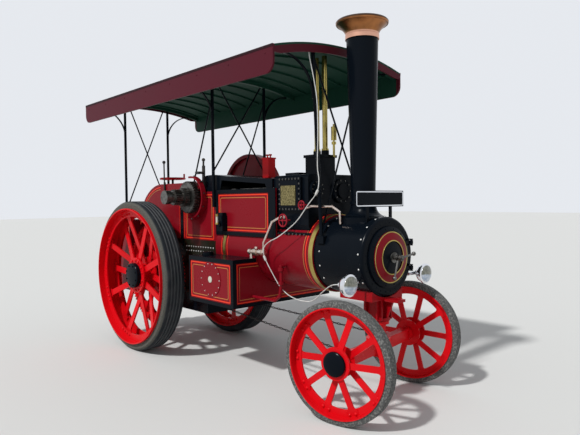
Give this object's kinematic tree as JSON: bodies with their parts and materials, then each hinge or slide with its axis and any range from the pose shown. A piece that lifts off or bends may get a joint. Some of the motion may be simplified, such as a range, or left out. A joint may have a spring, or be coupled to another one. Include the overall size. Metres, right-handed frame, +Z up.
{
  "type": "steam traction engine",
  "caption": "Steam road tractor with a locomotive boiler, spoked wheels on rubber tyres, chain steering, open gearing and a full-length arched canopy.",
  "frame": {"origin": "on the ground under the middle of the engine's overall length, where the tyres stand", "axes": "+X forward along the boiler, +Y to the engine's left, +Z up"},
  "size_m": [4.5187, 1.578, 3.1],
  "materials": {
    "maroon_paint": "gloss",
    "red_paint": "gloss",
    "black_paint": "gloss",
    "olive_paint": "satin",
    "green_paint": "satin",
    "brass": "polished",
    "copper": "polished",
    "steel": "oiled",
    "iron": "satin",
    "chrome": "polished",
    "rear_rubber": "worn",
    "front_rubber": "weathered"
  },
  "bodies": {
    "engine": {"boiler_barrel": "maroon_paint", "boiler_bands": "brass", "firebox": "olive_paint", "ashpan": "black_paint", "horn_plates": "maroon_paint", "side_panels": "maroon_paint", "panel_frames": "black_paint", "motion_cover": "black_paint", "motion_work": "steel", "cylinder_block": "black_paint", "valve_chests": "black_paint", "brass_fittings": "brass", "smokebox": "black_paint", "chimney": "black_paint", "chimney_cap": "copper", "number_plate": "black_paint", "headlamps": "chrome", "belly_tank": "maroon_paint", "tank_angles": "black_paint", "perch_bracket": "red_paint", "steering_roll": "iron", "rear_axle": "black_paint", "final_gears": "red_paint", "gear_guard": "maroon_paint", "gear_levers": "steel", "tender": "maroon_paint", "footplate": "maroon_paint", "drawbar": "iron", "steering_column": "black_paint", "steering_wheel": "red_paint", "backhead": "black_paint", "canopy_roof": "green_paint", "canopy_fascias": "maroon_paint", "canopy_ribs": "maroon_paint", "canopy_posts": "black_paint", "feed_pipes": "copper", "hand_wheels": "red_paint", "oil_box": "red_paint", "lubricator": "black_paint"},
    "front_axle": {"front_axle": "red_paint", "front_caps": "black_paint"},
    "rear_wheel_right": {"rear_wheel_right": "red_paint", "rear_tyre_right": "rear_rubber"},
    "rear_wheel_left": {"rear_wheel_left": "red_paint", "rear_tyre_left": "rear_rubber"},
    "front_wheel_right": {"front_wheel_right": "red_paint", "front_tyre_right": "front_rubber"},
    "front_wheel_left": {"front_wheel_left": "red_paint", "front_tyre_left": "front_rubber"},
    "crankshaft": {"crankshaft": "steel", "flywheel": "maroon_paint"},
    "smokebox_door": {"smokebox_door": "black_paint", "door_ring": "maroon_paint", "door_dart": "steel"},
    "chain_right": {"steering_chain_right": "iron"},
    "chain_left": {"steering_chain_left": "iron"}
  },
  "joints": [
    {"name": "steering", "type": "hinge", "parent": "engine", "child": "front_axle", "pos_m": [1.69694, 0, 0.452], "axis": [0, 0, 1], "range_deg": [-35.6, 14.4]},
    {"name": "front_right_roll", "type": "hinge", "parent": "front_axle", "child": "front_wheel_right", "pos_m": [1.80768, -0.59173, 0.452], "axis": [-0.184, 0.9829, 0], "continuous": true},
    {"name": "front_left_roll", "type": "hinge", "parent": "front_axle", "child": "front_wheel_left", "pos_m": [1.5862, 0.59173, 0.452], "axis": [-0.184, 0.9829, 0], "continuous": true},
    {"name": "rear_right_roll", "type": "hinge", "parent": "engine", "child": "rear_wheel_right", "pos_m": [-1.20806, -0.635, 0.825], "axis": [0, 1, 0], "continuous": true},
    {"name": "rear_left_roll", "type": "hinge", "parent": "engine", "child": "rear_wheel_left", "pos_m": [-1.20806, 0.635, 0.825], "axis": [0, 1, 0], "continuous": true},
    {"name": "crank_turn", "type": "hinge", "parent": "engine", "child": "crankshaft", "pos_m": [-0.48806, 0, 1.685], "axis": [0, 1, 0], "continuous": true},
    {"name": "smokebox_door_swing", "type": "hinge", "parent": "engine", "child": "smokebox_door", "pos_m": [1.83024, 0.274, 1.18], "axis": [0, 0, 1], "range_deg": [0, 100]},
    {"name": "chain_right_follow", "type": "hinge", "parent": "front_axle", "child": "chain_right", "pos_m": [1.67115, -0.34056, 0.452], "axis": [0, 0, 1], "range_deg": [-14.4, 35.6]},
    {"name": "chain_left_follow", "type": "hinge", "parent": "front_axle", "child": "chain_left", "pos_m": [1.54974, 0.30818, 0.452], "axis": [0, 0, 1], "range_deg": [-14.4, 35.6]}
  ],
  "couplings": [
    {"joint": "chain_right_follow", "follows": "steering", "ratio": -1},
    {"joint": "chain_left_follow", "follows": "steering", "ratio": -1}
  ]
}
